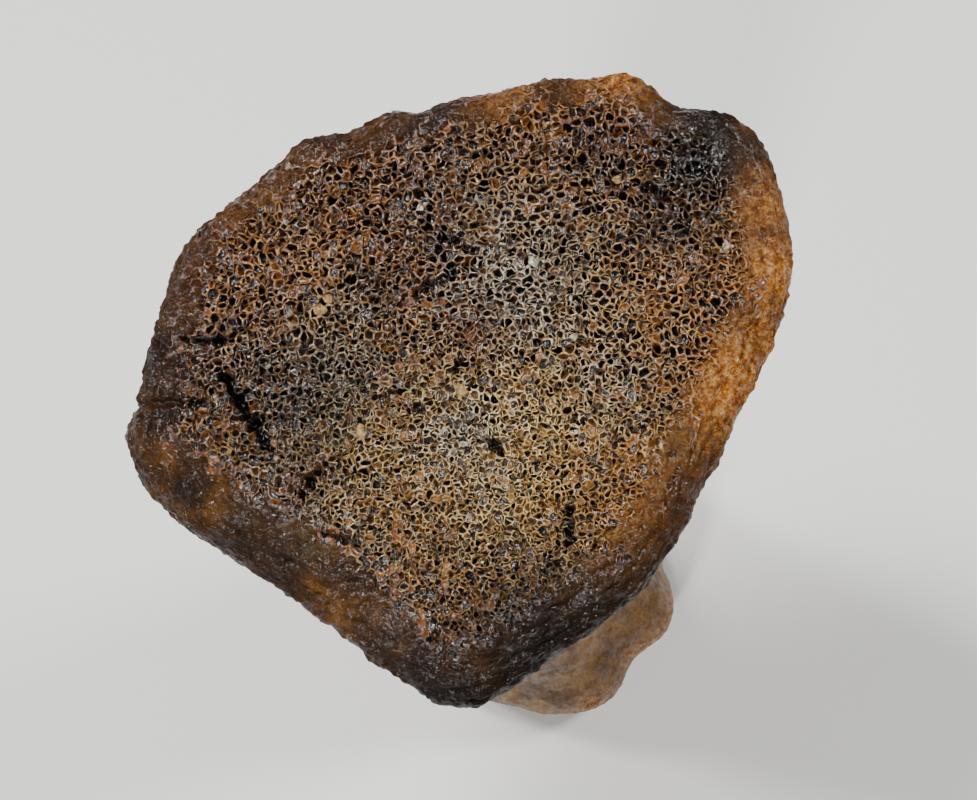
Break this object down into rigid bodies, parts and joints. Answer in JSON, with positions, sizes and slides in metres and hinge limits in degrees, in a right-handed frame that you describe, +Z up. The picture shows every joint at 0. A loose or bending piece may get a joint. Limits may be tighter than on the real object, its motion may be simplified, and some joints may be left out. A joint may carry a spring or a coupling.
{
  "type": "fossil mammoth bone",
  "caption": "Young mammoth's fossil shin bone: narrow shaft, lobed lower end it stands on, and a wide upper end whose open face shows spongy bone inside a worn rim.",
  "frame": {"origin": "centre of the bounding box at its base, on the plane the bone stands on", "axes": "+Z up along the shaft, from the lower end to the wide spongy end; -Y is the side of the front crest"},
  "size_m": [0.1656, 0.158, 0.3723],
  "materials": {
    "mineralised_bone": "dark brown mineralised bone, glossy with preservative"
  },
  "bodies": {
    "root": {"bone": "mineralised_bone"}
  },
  "joints": []
}
